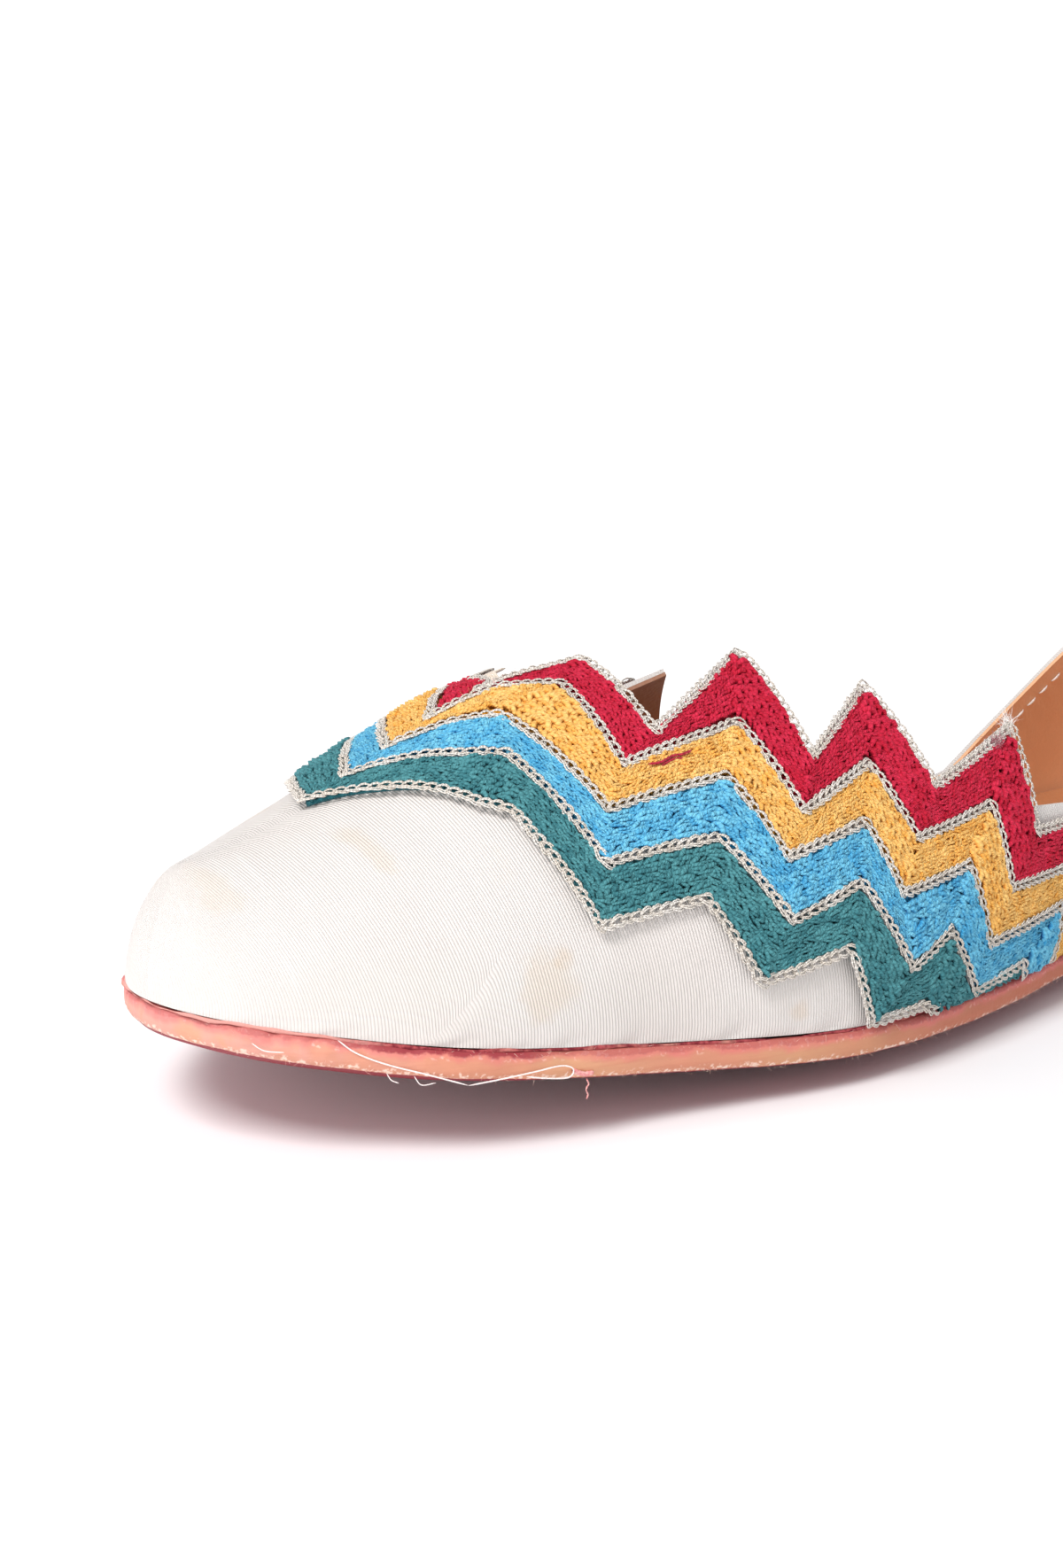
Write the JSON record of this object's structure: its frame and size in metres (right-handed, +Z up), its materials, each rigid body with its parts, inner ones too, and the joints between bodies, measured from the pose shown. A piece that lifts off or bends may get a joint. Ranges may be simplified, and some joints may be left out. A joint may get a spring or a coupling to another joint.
{
  "type": "mojari shoe",
  "caption": "Flat leather-soled mojari with a white silk upper, an open zigzag topline, zigzag bands in teal, blue, yellow and crimson, and a low inner side.",
  "frame": {"origin": "on the floor under the middle of the shoe's box", "axes": "+X forward to the toe, +Y to the wearer's left, the outer side of this left shoe, +Z up"},
  "size_m": [0.2512, 0.0858, 0.0527],
  "materials": {
    "sole_leather": "natural vegetable-tanned leather, dyed dark red along its top line and underside",
    "lining_leather": "smooth tan lining leather",
    "upper_silk": "off-white ribbed silk with a soft sheen, backed with leather",
    "teal_yarn": "matte twisted yarn in chain stitch",
    "blue_yarn": "matte twisted yarn in chain stitch",
    "yellow_yarn": "matte twisted yarn in chain stitch",
    "crimson_yarn": "matte twisted yarn in chain stitch",
    "metal_thread": "pale metallic thread in chain stitch"
  },
  "bodies": {
    "root": {"outsole": "sole_leather", "insole": "lining_leather", "upper": "upper_silk", "teal_band": "teal_yarn", "blue_band": "blue_yarn", "yellow_band": "yellow_yarn", "crimson_band": "crimson_yarn"}
  },
  "joints": []
}
